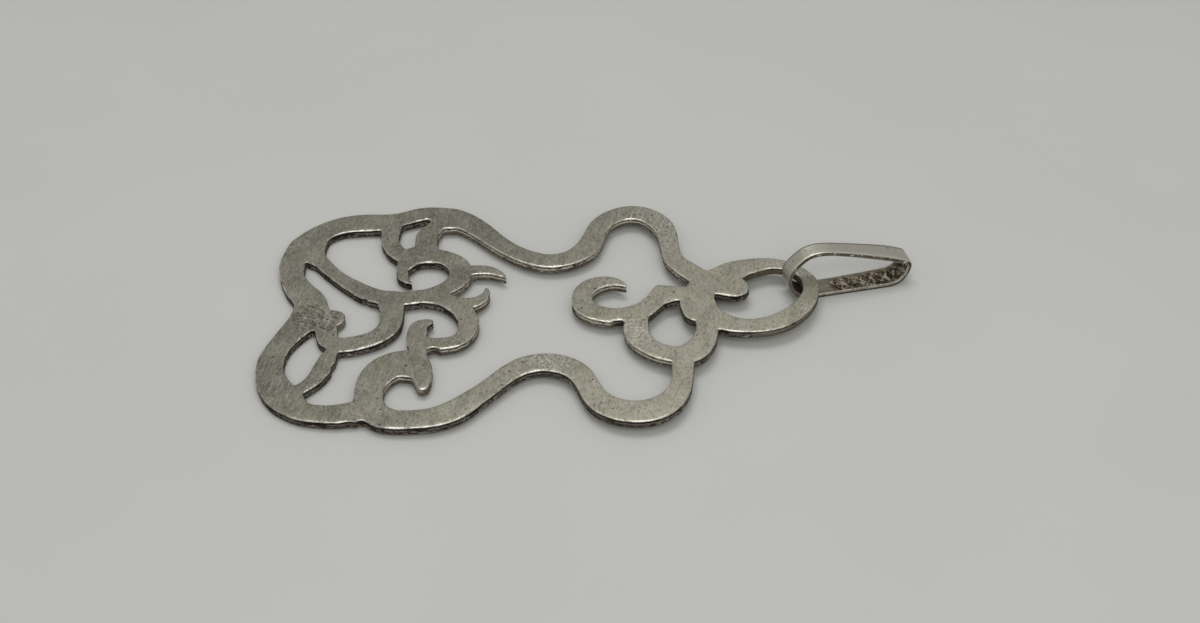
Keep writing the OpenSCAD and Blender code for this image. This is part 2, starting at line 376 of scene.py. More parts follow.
def build_plate(look, material):
    mm = in_mm(look)
    sheet = Sheet()
    rings = [sawn_ring(ring, mm) for ring in sheet.rings]
    sizes = [len(r) for r in rings]
    starts = np.concatenate([[0], np.cumsum(sizes)])
    flat = np.vstack(rings)
    out = np.vstack([outward(r) for r in rings])
    hole = np.repeat([0.0] + [1.0] * (len(rings) - 1), sizes)
    # Towards the viewer of the photograph, and how far a rim may be rounded before its two sides meet
    facing = -out[:, 1]
    room = np.concatenate([soften_values(np.minimum(0.42 * tip_radius(r, 4), 1), 1.5) for r in rings])
    rows = edge_rows(flat, facing, room, sheet.thick, mm)

    def inset(row):
        return flat - np.broadcast_to(row.back, len(flat))[:, None] * out

    def by_ring(points):
        return [points[a:b] for a, b in zip(starts[:-1], starts[1:])]

    top_points, top_faces = cap(by_ring(inset(rows[0])), mm.face_step, 5)
    low_points, low_faces = cap(by_ring(inset(rows[-1])), 1.3 * mm.face_step, 6)

    n_rim, n_rows = len(flat), len(rows)
    rim_wave = face_waves(flat, 7, mm.hand_wave)
    columns = []
    for row in rows:
        near_top = 1 - np.clip(row.depth / sheet.thick * 2, 0, 1)
        columns.append(sheet.place(inset(row), sheet.thick - row.depth - rim_wave * near_top))
    faces = []
    for ring_at, count in zip(starts[:-1], sizes):
        here = ring_at + np.arange(count)
        ahead = ring_at + (np.arange(count) + 1) % count
        for k in range(n_rows - 1):
            over, under = k * n_rim, (k + 1) * n_rim
            faces += np.stack([here + over, here + under, ahead + under, ahead + over], -1).tolist()
    inner_top, inner_low = top_points[n_rim:], low_points[n_rim:]
    total = n_rows * n_rim
    index = np.concatenate([np.arange(n_rim), total + np.arange(len(inner_top))])
    faces += index[top_faces].tolist()
    total += len(inner_top)
    index = np.concatenate([(n_rows - 1) * n_rim + np.arange(n_rim), total + np.arange(len(inner_low))])
    faces += index[low_faces][:, ::-1].tolist()
    top_wave = face_waves(inner_top, 7, mm.hand_wave)
    low_wave = 0.4 * face_waves(inner_low, 9, mm.hand_wave)
    upper, lower = sheet.place(inner_top, sheet.thick - top_wave), sheet.place(inner_low, low_wave)
    points = np.vstack([*columns, upper, lower])

    spare = np.zeros(len(inner_top) + len(inner_low))
    # Painted highlight: rubbed rims that face the viewer are painted brighter
    rubbed = np.clip(0.45 + 0.75 * facing - 0.15 * out[:, 0], 0, 1) * (1 - 0.2 * hole)
    # Painted shade: rims turned away from the viewer are painted dark
    turned_away = np.clip(0.15 - 1.1 * facing + 0.3 * out[:, 0], 0, 1)

    def mark(values):
        return np.concatenate([np.broadcast_to(v, n_rim) for v in values] + [spare])

    marks = {
        "rim": mark(row.rim * rubbed for row in rows),
        "lee": mark(row.rim * turned_away for row in rows),
        "wall": mark(row.wall for row in rows),
        "ridge": mark(row.ridge for row in rows),
        "depth": mark(row.depth / sheet.thick for row in rows),
        "hole": mark(hole for _ in rows),
    }
    return new_piece("sawn_plate", points, faces, marks, material)


# Bail

# A point of the strip's cross section: how far across and through it, and its marks
Spot = namedtuple("Spot", "across through rim wall hollow")


class Strip:
    """The bail's own directions, read from its hinge: s along it, off across its strip and z up."""

    def __init__(self):
        self.across = -np.array(SWING["axis"])
        self.along = np.array([self.across[1], -self.across[0], 0])
        self.origin = np.array(SWING["pos_m"]) / MM * np.array([1, 1, 0])
        points, faces = cad_faces(BAIL)
        facing = face_normals(points, faces) @ self.across
        away = points - self.origin
        flat = np.stack([away @ self.along, points[:, 2], away @ self.across], -1)
        self.near, self.far = (
            sorted((flat[r] for r in rims(faces[side > 0.8])), key=lambda r: -length(r[:, :2]))
            for side in (-facing, facing)
        )

    def place(self, s, z, off):
        up = np.array([0, 0, 1])
        return self.origin + s[:, None] * self.along + off[:, None] * self.across + z[:, None] * up


def facing_line(ring, line, thick):
    """The strip's inner outline as points that face those of its outer line and never turn back."""
    fine = resample(ring, 1600)
    tree = nearest_tree(fine)
    through = line[:, :2] - thick * outward(line[:, :2])
    run = np.array([tree.find((x, y, 0))[1] for x, y in through])
    turns = np.unwrap(run / len(fine) * 2 * math.pi)
    even = np.arange(len(line)) / len(line) * 2 * math.pi
    extra = soften_values(np.maximum.accumulate(turns) - even, 3)
    at = ((even + extra) / (2 * math.pi) * len(fine)) % len(fine)
    steps = np.arange(len(fine) + 1)
    matched = [np.interp(at, steps, np.append(fine[:, k], fine[0, k])) for k in range(2)]
    return soften(np.stack(matched, -1), 1.5)


def edge_offset(rings, line):
    """How far across the strip one of its edges lies, beside each point of a line."""
    both = np.vstack([resample(r, 900) for r in rings])
    tree = nearest_tree(both)
    return soften_values(np.array([both[tree.find((x, y, 0))[1], 2] for x, y in line]), 4)


def strip_section(wide, thick, r, cuts):
    """Points round the strip: over its outer face, down its far edge, back inside and up its near edge."""
    turns = (0, 30, 60, 90)

    def corner(far, under, turns):
        for turn in turns:
            a = math.radians(turn)
            x, y = r * (1 - math.cos(a)), r * (1 - math.sin(a))
            rim, wall = float(0 < turn < 90), float(turn == 0)
            yield Spot(wide - x if far else x, thick - y if under else y, rim, wall, 0.4 if under else 0.0)

    flats = np.linspace(r, wide - r, cuts)[1:-1]
    depths = np.linspace(r, thick - r, 5)[1:-1]
    return [
        *corner(False, False, turns),
        *(Spot(x, 0, 0, 0, 0) for x in flats),
        *corner(True, False, turns[::-1]),
        *(Spot(wide, y, 0, 1, 0) for y in depths),
        *corner(True, True, turns),
        *(Spot(x, thick, 0, 0, 1) for x in flats[::-1]),
        *corner(False, True, turns[::-1]),
        *(Spot(0, y, 0, 1, 0) for y in depths[::-1]),
    ]


def build_bail(look, material):
    mm = in_mm(look)
    strip = Strip()
    outer, inner = (r if area(r) > 0 else r[::-1] for r in strip.near[:2])
    count = round(length(outer[:, :2]) / mm.strip_step)
    line = soften(resample(outer, count), mm.fold_round / mm.strip_step)[:, :2]
    inner_line = facing_line(inner, line, mm.strip_thick)
    near = [edge_offset(strip.near, each) for each in (line, inner_line)]
    far = [edge_offset(strip.far, each) for each in (line, inner_line)]
    wide, thick = float(np.mean(far[0] - near[0])), mm.strip_thick
    section = strip_section(wide, thick, mm.strip_rim, look.strip_cuts)
    inwards = (inner_line - line) / thick

    rings = []
    for p in section:
        share = p.through / thick
        near_off = near[0] * (1 - share) + near[1] * share
        far_off = far[0] * (1 - share) + far[1] * share
        place = line * (1 - share) + inner_line * share
        off = near_off + (far_off - near_off) * p.across / wide
        spots = np.c_[place, off]
        if p.hollow == 1:
            crust = np.clip((place[:, 0] - 2.0) / 0.6, 0.1, 1) * np.clip((3.2 - place[:, 1]) / 1.0, 0.15, 1)
            lumps = np.clip(0.5 + 1.2 * grain(spots, (0.6, 0.6, 0.8), 11, 3), 0, 1)
            place = place - inwards * (mm.hollow_rough * lumps * crust)[:, None]
        elif p.wall:
            cut = mm.strip_wobble * (0.5 + 0.5 * grain(spots, 0.3, 12, 3))
            off = off + np.where(p.across < wide / 2, cut, -cut)
        else:
            dent = mm.strip_wobble * (0.5 + 0.5 * grain(spots, 1.4, 13, 2))
            place = place + (inner_line - place) / thick * dent[:, None]
        rings.append(strip.place(place[:, 0], np.maximum(place[:, 1], 0.004), off))
    n = len(section)
    points = np.stack(rings, 1).reshape(-1, 3)
    k, j = np.arange(count)[:, None], np.arange(n)[None, :]
    k1, j1 = (k + 1) % count, (j + 1) % n
    faces = np.stack([k * n + j, k1 * n + j, k1 * n + j1, k * n + j1], -1).reshape(-1, 4)

    # Along the strip: its crusted stretch, its bend through the loop, and where it stands off the surface
    s, z = line.T
    crusted = np.clip((inner_line[:, 0] - 2.0) / 0.5, 0, 1) * np.clip((3.2 - inner_line[:, 1]) / 0.8, 0, 1)
    under_loop = np.clip((0.6 - s) / 0.8, 0, 1) * np.clip((2.3 - z) / 0.7, 0, 1)
    bend = np.clip((-1.3 - s) / 0.6, 0, 1) * np.clip((3.7 - z) / 0.5, 0, 1)
    nose = np.maximum(under_loop, bend)
    lifted = np.clip((z - 1.7) / 0.6, 0, 1)

    def across(values):
        return np.tile(np.array(list(values), float), count)

    def along(values):
        return np.repeat(values, n)

    rim, hollow = across(p.rim for p in section), across(p.hollow for p in section)
    marks = {
        # Painted shade: the rims lose their highlight where the strip bends under the loop
        "rim": rim * (1 - 0.9 * along(nose)),
        "lee": rim * across(p.across > wide / 2 for p in section),
        "wall": across(p.wall for p in section),
        "hollow": hollow,
        "crust": hollow * along(crusted),
        "nose": along(nose),
        "lifted": along(lifted),
        "through": across(p.through / thick for p in section),
        "across": across(p.across / wide for p in section),
    }
    return new_piece("strip_bail", points, faces, marks, material)


# Shader nodes


class Finish:
    """A material under construction: each call adds one node and returns what it puts out."""

    def __init__(self, name):
        self.material = bpy.data.materials.new(name)
        self.material.use_nodes = True
        self.tree = self.material.node_tree
        self.shader = self.tree.nodes["Principled BSDF"]
        metres = self.node("ShaderNodeTexCoord").outputs["Object"]
        self.mm = self.vector("SCALE", {0: metres, "Scale": 1 / MM})
        self.flat = self.vector("MULTIPLY", {0: self.mm, 1: (1, 1, 0)})

    def node(self, kind, inputs=None, **settings):
        made = self.tree.nodes.new(kind)
        for key, value in settings.items():
            setattr(made, key, value)
        for key, value in (inputs or {}).items():
            self.feed(made.inputs[key], value)
        return made

    def feed(self, socket, value):
        if isinstance(value, bpy.types.NodeSocket):
            self.tree.links.new(value, socket)
        else:
            socket.default_value = value

    def mark(self, name):
        return self.node("ShaderNodeAttribute", attribute_name=name).outputs["Fac"]

    def marks(self, names):
        return [self.mark(name) for name in names.split()]

    def vector(self, operation, inputs):
        return self.node("ShaderNodeVectorMath", inputs, operation=operation).outputs[0]

    def moved(self, x, y):
        return self.vector("ADD", {0: self.mm, 1: (x, y, 0)})

    def turned(self, angle, fineness=(1, 1, 1), start=0.0):
        """Coordinates turned by that angle, with that many lumps per millimetre along, across and up."""
        inputs = {
            "Vector": self.mm,
            "Location": (start, start * 2.7, 0),
            "Rotation": (0, 0, math.radians(angle)),
            "Scale": [1 / k for k in fineness],
        }
        return self.node("ShaderNodeMapping", inputs, vector_type="TEXTURE").outputs[0]

    def noise(self, scale, detail=3.0, rough=0.55, vector=None):
        inputs = {"Vector": vector or self.mm, "Scale": scale, "Detail": detail, "Roughness": rough}
        return self.node("ShaderNodeTexNoise", inputs).outputs["Fac"]

    def cells(self, scale, vector):
        """Distance to the nearest of scattered points, and that point's own number from 0 to 1."""
        made = self.node("ShaderNodeTexVoronoi", {"Vector": vector, "Scale": scale})
        own = self.node("ShaderNodeSeparateColor", {0: made.outputs["Color"]})
        return made.outputs["Distance"], own.outputs[0]

    def span(self, value, low, high, to_low=0.0, to_high=1.0):
        """Eases the value from to_low at low to to_high at high."""
        inputs = {"Value": value, "From Min": low, "From Max": high, "To Min": to_low, "To Max": to_high}
        return self.node("ShaderNodeMapRange", inputs, interpolation_type="SMOOTHSTEP").outputs["Result"]

    def math(self, operation, a, b, clamp=False):
        return self.node("ShaderNodeMath", {0: a, 1: b}, operation=operation, use_clamp=clamp).outputs[0]

    def times(self, first, *others, clamp=False):
        """All the values multiplied."""
        for k, other in enumerate(others, 1):
            first = self.math("MULTIPLY", first, other, clamp and k == len(others))
        return first

    def plus(self, a, b, clamp=False):
        return self.math("ADD", a, b, clamp)

    def less(self, a, b, clamp=False):
        return self.math("SUBTRACT", a, b, clamp)

    def most(self, first, *others):
        """The largest of the values."""
        for other in others:
            first = self.math("MAXIMUM", first, other)
        return first

    def mix_value(self, share, a, b):
        return self.node("ShaderNodeMix", {0: share, 2: a, 3: b}).outputs[0]

    def mix(self, share, a, b, blend="MIX"):
        made = self.node("ShaderNodeMix", {0: share}, data_type="RGBA", blend_type=blend)
        for socket, tone in ((made.inputs[6], a), (made.inputs[7], b)):
            self.feed(socket, tone if isinstance(tone, bpy.types.NodeSocket) else (*tone, 1))
        return made.outputs[2]

    def scratches(self, angle, density, width, seed):
        """Fine lines at that angle, as 0 to 1."""
        lines = self.noise(1.0, 2.0, 0.6, self.turned(angle, (0.35, density, 1), seed))
        return self.span(lines, 0.60 - width, 0.62)

    def spot(self, x, y, radius):
        """1 near a place on the plate, fading out to 0 at a little more than the radius."""
        inputs = {0: self.flat, 1: (x, y, 0)}
        away = self.node("ShaderNodeVectorMath", inputs, operation="DISTANCE").outputs["Value"]
        return self.span(away, radius * 1.25, radius * 0.45)

    def slopes(self, scale, detail, rough, step):
        """Small lumps as light and shade: above 0 on one slope and below 0 on the other."""
        lumps = self.noise(scale, detail, rough)
        return self.less(lumps, self.noise(scale, detail, rough, self.moved(step, 0.6 * step)))

    def bump(self, height, distance):
        return self.node("ShaderNodeBump", {"Height": height, "Distance": distance}).outputs["Normal"]


class Silver(Finish):
    """Tarnished silver: mottled warm grey with scratches, light on its rims with painted highlights, and
    black in its cuts.
    """

    def __init__(self, name, look):
        super().__init__(name)
        self.look = look
        place = self.node("ShaderNodeSeparateXYZ", {0: self.mm})
        self.x = place.outputs[0]
        brushed = self.turned(72, (0.5, 1, 1))
        self.speckle = self.noise(look.grain, 4.0, 0.68, brushed)
        blotch = self.noise(0.8, 4.0, 0.55, brushed)
        self.height = self.plus(self.times(self.speckle, 0.8), self.times(blotch, 1.2))
        self.rough = self.span(self.speckle, 0.3, 0.7, 0.50, 0.36)

        # Painted sheen: the metal is painted lighter towards the bail, towards the viewer and on the far
        # lobe, as if it caught more light there, over tarnish that varies at random
        nearness = self.less(self.x, self.times(place.outputs[1], 0.6))
        painted_sheen = self.plus(self.span(nearness, -24, 13, 0.0, 0.85), self.times(self.spot(*FAR_LOBE), 0.25))
        tone = self.plus(painted_sheen, self.span(self.noise(0.2, 4.0, 0.6), 0.3, 0.7, -0.15, 0.3), clamp=True)
        self.colour = self.mix(tone, look.dark, look.light)
        patches = self.span(self.noise(0.6, 3.0, 0.65, self.moved(40, 15)), 0.40, 0.60)
        self.colour = self.mix(1.0, self.colour, self.mix(patches, look.olive, look.mauve), "MULTIPLY")
        strokes = self.noise(1.0, 3.0, 0.65, self.turned(80, (0.7, 5.5, 1)))
        self.mottle(blotch, (0.34, 0.50), 0.24, (0.51, 0.68), 0.13)
        self.mottle(self.speckle, (0.36, 0.50), 0.44, (0.51, 0.66), 0.30)
        self.mottle(strokes, (0.34, 0.47), 0.16, (0.54, 0.66), 0.15)
        # Painted light and shade on small lumps, as if lit from one side
        self.mottle(self.slopes(1.7, 3.0, 0.6, 0.10), (-0.13, -0.02), 0.24, (0.02, 0.13), 0.16)

    def over(self, share, tone):
        """Lays that tone over the colour so far, by that share."""
        self.colour = self.mix(share, self.colour, tone)

    def mottle(self, field, low, dark, high, light, where=None):
        """Darkens where the field is low and brightens where it is high, each by that share."""
        shades = (
            (self.span(field, *low, dark, 0.0), self.look.grime),
            (self.span(field, *high, 0.0, light), self.look.bright),
        )
        for share, tone in shades:
            self.over(self.times(share, where) if where else share, tone)

    def lines(self, hatch, light, dark, depth):
        """Adds bright and dark scratches where hatch is 1."""
        self.over(self.times(hatch, light), self.look.bright)
        self.height = self.less(self.height, self.times(hatch, depth))
        self.over(self.times(hatch, self.span(self.speckle, 0.5, 0.4), dark), self.look.grime)

    def pits(self, density, share, depth):
        """Adds small dark pits with a painted highlight on one lip, to that share of the scattered points."""
        spots = []
        for away in ((0, 0), (-0.04, 0.13)):
            deep, pick = self.cells(density, self.moved(*away))
            ragged = self.plus(deep, self.times(self.speckle, 0.5))
            spots.append(self.times(self.span(ragged, 0.52, 0.38), self.math("LESS_THAN", pick, share)))
        pit, lip_highlight = spots
        self.over(self.times(lip_highlight, 0.5 * depth), self.look.bright)
        self.over(self.times(pit, depth), self.look.patina)
        self.height = self.less(self.height, self.times(pit, 2.0))

    def rims(self, rim):
        """Paints the rims light as rubbed metal with a painted highlight, with gaps in it."""
        gaps = self.span(self.noise(1.2, 4.0, 0.7), 0.40, 0.56, 1.1, 0.0)
        wear = self.less(self.times(rim, 1.7), gaps, clamp=True)
        self.over(self.times(wear, 0.9), self.look.rubbed)
        self.rough = self.less(self.rough, self.times(wear, 0.16))

    def close(self, dirt):
        """Joins all up. Where dirt is 1 the surface has no shine and no longer reflects as metal."""
        self.feed(self.shader.inputs["Metallic"], self.mix_value(dirt, self.look.metal, 0.1))
        self.feed(self.shader.inputs["Specular IOR Level"], self.mix_value(dirt, 0.5, 0.06))
        self.feed(self.shader.inputs["Base Color"], self.colour)
        self.feed(self.shader.inputs["Roughness"], self.rough)
        self.feed(self.shader.inputs["Normal"], self.bump(self.height, self.look.relief))
        return self.material


def scratch_plate(f):
    """The plate's scratches and pits, and the rough patch at its left waist with painted light and shade on
    its lumps.
    """
    where = f.noise(0.22, 2.0, 0.5)
    # Angle, lines per millimetre, width, seed and place of each set, and its light, dark and depth
    for angle, density, width, seed, share, light, dark, depth in (
        (84, 7.0, 0.10, 1.0, f.span(where, 0.46, 0.62), 0.38, 0.4, 0.5),
        (-32, 6.0, 0.08, 5.0, f.span(where, 0.52, 0.38), 0.22, 0.3, 0.4),
        (78, 5.0, 0.16, 13.0, f.spot(*FAR_HUMP), 0.75, 1.0, 0.9),
        (-52, 5.0, 0.16, 17.0, f.spot(*NEAR_FRAME), 0.6, 0.9, 0.8),
        (4, 6.0, 0.14, 19.0, f.spot(*HOOK_RING), 0.4, 0.4, 0.6),
    ):
        f.lines(f.times(f.scratches(angle, density, width, seed), share), light, dark, depth)
    f.pits(1.7, f.span(f.noise(0.45, 2.0), 0.48, 0.66, 0.0, 0.4), 0.7)
    patch = f.spot(*ROUGH_WAIST)
    f.pits(1.9, f.times(patch, 0.7), 0.9)
    # Painted light and shade on the rough patch's lumps
    f.mottle(f.slopes(1.25, 3.0, 0.65, 0.20), (-0.12, -0.03), 0.7, (0.05, 0.14), 0.5, patch)


def cut_edge(f, depth, hole):
    """Tone of the plate's cut edge: black with flecks under the rim, then brown, paler on the loop, and with
    a painted contact shadow at its foot.
    """
    look = f.look
    pale = f.span(f.x, 14.3, 15.6)
    flecks = f.noise(2.8, 4.0, 0.7, f.turned(0, (1, 1, 2.2)))
    upper = f.mix(f.span(flecks, 0.44, 0.56), look.patina, look.dust)
    upper = f.mix(f.span(flecks, 0.60, 0.70, 0.0, 0.8), upper, look.bright)
    upper = f.mix(f.times(hole, 0.93), upper, look.patina)
    dusty = f.mix(f.span(flecks, 0.42, 0.60), look.umber, look.dust)
    lower = f.mix(f.span(f.noise(0.35, 2.0, 0.5, f.moved(9, 4)), 0.44, 0.62, 0.25, 1.0), look.umber, dusty)
    lower = f.mix(f.times(hole, f.span(flecks, 0.62, 0.40, 0.0, 0.7)), lower, look.patina)
    lower = f.mix(f.times(pale, 0.85), lower, f.mix(hole, look.bare, look.cave))
    # Painted contact shadow: the foot of the cut edge is painted black, more so in the holes
    foot_shadow = f.times(f.span(depth, 0.88, 0.99), f.plus(0.25, f.times(hole, 0.25)))
    lower = f.mix(foot_shadow, lower, look.patina)
    # The brown starts lower down in the holes and higher up on the loop, along a ragged line
    ragged = f.span(f.noise(1.7, 4.0, 0.7), 0.3, 0.7, -0.2, 0.2)
    start = f.plus(f.times(hole, 0.14), f.times(pale, -0.36))
    return f.mix(f.span(f.less(f.plus(depth, ragged), start), 0.38, 0.54), upper, lower)


def plate_silver(look):
    f = Silver("plate_silver", look)
    rim, lee, wall, ridge, depth, hole = f.marks("rim lee wall ridge depth hole")
    notches = f.most(*(f.spot(*place) for place in NOTCH_DARK))
    scratch_plate(f)
    # Painted shade: the rims turned away from the viewer are painted black
    f.over(f.times(lee, 1.3, clamp=True), look.patina)
    f.rims(f.times(rim, f.less(1.0, f.times(notches, 0.4))))

    # The broken ridge along the cut edge catches the light in runs
    long_runs = f.span(f.noise(0.3, 2.0, 0.5), 0.38, 0.48)
    runs = f.times(long_runs, f.span(f.noise(1.4, 3.0, 0.7), 0.34, 0.46))
    flash = f.times(ridge, runs, f.less(0.9, f.times(hole, 0.7)), clamp=True)
    edge = f.mix(flash, cut_edge(f, depth, hole), look.rubbed)
    edge = f.mix(f.times(f.spot(*WAIST_KNOB), 0.75), edge, f.colour)
    edge = f.mix(f.times(notches, 0.95), edge, look.patina)
    f.over(wall, edge)
    f.rough = f.plus(f.rough, f.times(wall, 0.3), clamp=True)
    return f.close(f.less(wall, f.times(flash, 0.7), clamp=True))


def bail_edge(f, nose, lifted, through):
    """Tone of the strip's cut edge: dark where it stands up, light with rubbed flecks where it lies with a
    painted contact shadow along its foot, and brown with painted shade in the loop.
    """
    look = f.look
    nicks = f.noise(1.9, 4.0, 0.7)
    shaded = f.mix(f.span(nicks, 0.56, 0.68), look.cut, look.bright)
    shaded = f.mix(f.span(nicks, 0.48, 0.36, 0.0, 0.8), shaded, look.patina)
    shaded = f.mix(f.span(through, 0.60, 0.95, 0.0, 0.7), shaded, look.patina)
    lying = f.mix(f.span(nicks, 0.48, 0.40, 0.0, 0.7), look.bare, look.umber)
    lying = f.mix(f.span(nicks, 0.60, 0.66), lying, look.rubbed)
    # Painted contact shadow along the foot of the lying edge
    lying = f.mix(f.span(through, 0.62, 0.34, 0.0, 0.95), lying, look.patina)
    in_loop = f.mix(f.span(nicks, 0.4, 0.6), look.inner, look.bend)
    # Painted shade: where the strip bends under the loop its edge takes the darker inner tones
    return f.mix(f.times(nose, 0.9), f.mix(lifted, lying, shaded), in_loop)


def crust_tone(f, crumbs, across):
    """Tone of the brown crust inside the bail, with its lumps lit from one side and painted shade along the
    far edge.
    """
    look = f.look
    pale = f.span(f.less(crumbs, f.times(across, 0.06)), 0.50, 0.60)
    brown = f.mix(f.span(crumbs, 0.40, 0.52), look.hollow_dark, look.hollow_mid)
    brown = f.mix(pale, brown, look.hollow_light)
    relief = f.slopes(1.7, 4.0, 0.7, 0.16)
    brown = f.mix(f.span(relief, 0.04, 0.12, 0.0, 0.8), brown, look.bright)
    brown = f.mix(f.span(relief, -0.10, -0.02, 0.8, 0.0), brown, look.hollow_dark)
    return f.mix(f.span(across, 0.72, 0.92, 0.0, 0.7), brown, look.inner)


def bail_silver(look):
    f = Silver("bail_silver", look)
    rim, lee, wall, hollow, crusted = f.marks("rim lee wall hollow crust")
    nose, lifted, through, across = f.marks("nose lifted through across")
    f.over(0.55, look.bright)
    f.lines(f.scratches(13, 6.0, 0.08, 3.0), 0.2, 0.15, 0.3)
    f.pits(1.9, f.span(f.noise(0.6, 2.0), 0.46, 0.66, 0.0, 0.4), 0.6)

    # Painted shade darkens the outer face along its far edge, also where it bends under the loop, and a
    # painted highlight with rubbed strokes lightens it along its near edge
    face = f.less(1.0, f.most(nose, f.most(hollow, wall)))
    f.over(f.times(f.span(across, 0.80, 0.98, 0.0, 0.75), f.most(face, nose)), look.grime)
    strokes = f.span(f.noise(1.0, 3.0, 0.65, f.turned(13, (0.4, 6.0, 1))), 0.44, 0.60)
    f.over(f.times(f.span(across, 0.34, 0.03), strokes, face), look.rubbed)
    f.over(f.times(f.span(across, 0.08, 0.04, 0.0, 0.7), face), look.rubbed)
    # Painted shade: the rims along the far edge are painted black
    f.over(f.times(lee, 0.9), look.patina)
    f.rims(f.less(rim, lee, clamp=True))
    f.over(wall, bail_edge(f, nose, lifted, through))

    # Inside it is smooth at the left, then crusted; painted light falls on it from the near edge, and painted
    # shade darkens it where it bends through the loop
    streaks = f.noise(1.0, 3.0, 0.65, f.turned(13, (0.5, 7.0, 1)))
    lit = f.plus(f.span(across, 0.85, 0.25, 0.0, 0.7), f.span(streaks, 0.38, 0.62, -0.4, 0.5), clamp=True)
    f.over(f.times(hollow, 0.85), f.mix(lit, look.cave, look.dust))
    crumbs = f.noise(1.3, 6.0, 0.75)
    f.over(crusted, crust_tone(f, crumbs, across))
    # Painted shade inside the bend under the loop
    bend = f.times(nose, hollow)
    f.over(f.times(bend, 0.95), look.hollow_dark)
    f.height = f.plus(f.height, f.times(crumbs, crusted, 6.0))
    f.rough = f.plus(f.rough, f.plus(f.times(hollow, 0.1), f.times(bend, 0.4)), clamp=True)
    return f.close(f.most(crusted, f.times(wall, 0.8), bend))


def pale_board(look):
    f = Finish("pale_board")
    cloud = f.span(f.noise(0.035, 3.0, 0.5), 0.3, 0.7)
    shaded = [c * 0.975 for c in look.floor]
    f.feed(f.shader.inputs["Base Color"], f.mix(cloud, shaded, look.floor))
    f.shader.inputs["Roughness"].default_value = 0.55
    f.shader.inputs["Specular IOR Level"].default_value = 0.25
    return f.material


# Settings


def colour(name, text, value):
    return FloatVectorProperty(name=name, description=text, default=value, subtype="COLOR", min=0, max=1)


def size(name, text, millimetres):
    return FloatProperty(
        name=name,
        description=text,
        default=millimetres * MM,
        min=0,
        precision=5,
        subtype="DISTANCE",
        unit="LENGTH",
    )


def in_mm(look):
    """The group's lengths as plain numbers of millimetres."""
    lengths = [p.identifier for p in look.bl_rna.properties if p.type == "FLOAT" and p.unit == "LENGTH"]
    return SimpleNamespace(**{name: getattr(look, name) / MM for name in lengths})


class SilverLook:
    """Tones shared by both pieces of silver."""

    # The dark and light tones are mixed by random tarnish and by the painted sheen that lightens the metal
    # towards the bail and the viewer
    dark: colour("Dark tarnish", "Tone of the most tarnished metal", (0.222, 0.215, 0.177))
    light: colour("Light tarnish", "Tone of the least tarnished metal", (0.480, 0.457, 0.378))
    olive: colour("Olive cast", "Tint of the greener patches", (0.98, 1.0, 0.92))
    mauve: colour("Mauve cast", "Tint of the redder patches", (1.0, 0.97, 0.965))
    bright: colour("Scratch", "Tone inside a fresh scratch", (0.62, 0.60, 0.53))
    # Rubbed rim is also the painted highlight on rims and ridges that face the light
    rubbed: colour("Rubbed rim", "Tone of the rubbed rims", (0.72, 0.69, 0.61))
    grime: colour("Grime", "Tone of the fine dark specks", (0.085, 0.08, 0.062))
    # Patina is also the painted shade on rims turned away, at the foot of cut edges and along the bail's
    # edges
    patina: colour("Patina", "Tone of the blackened cuts and pits", (0.010, 0.008, 0.006))
    umber: colour("Umber", "Tone of the brown dirt in the cuts", (0.085, 0.066, 0.048))
    dust: colour("Dust", "Tone of the lighter dirt in the cuts", (0.33, 0.30, 0.24))
    cave: colour("Shaded inside", "Tone of the metal inside the loop and the bail", (0.125, 0.105, 0.078))
    bare: colour("Bare cut", "Tone of the cleaner cut edges", (0.34, 0.305, 0.24))
    metal: FloatProperty(
        name="Metal",
        description="How metallic the silver reflects",
        default=0.9,
        min=0,
        max=1,
        subtype="FACTOR",
    )
    grain: FloatProperty(
        name="Grain",
        description="Lumps of the speckle in a millimetre",
        default=4.4,
        min=0.1,
    )
    relief: size("Relief", "Height of the fine surface relief", 0.016)


class PlateLook(SilverLook, PropertyGroup):
    """Sizes of the sawn plate."""

    ring_step: size("Edge step", "Distance between points along the cut edge", 0.11)
    face_step: size("Face step", "Distance between points on the flat faces", 0.3)
    saw_round: size("Saw rounding", "Rounding left by the saw in sharp corners", 0.09)
    bend_round: size("Bend rounding", "Evening of the saw line in its open bends", 0.32)
    saw_wobble: size("Saw wobble", "How far the saw line wanders inwards", 0.04)
    saw_tear: size("Torn edge", "Depth of the nicks where the saw jumped", 0.18)
    notch: size("Notches", "Depth of the deep notches beside two joins", 0.3)
    rim_round: size("Rim rounding", "Mean radius of the worn rim", 0.128)
    wall_rough: size("Wall roughness", "Depth of the saw marks in the cut edge", 0.06)
    hand_wave: size("Face waves", "Depth of the flat's hand-worked waves", 0.03)


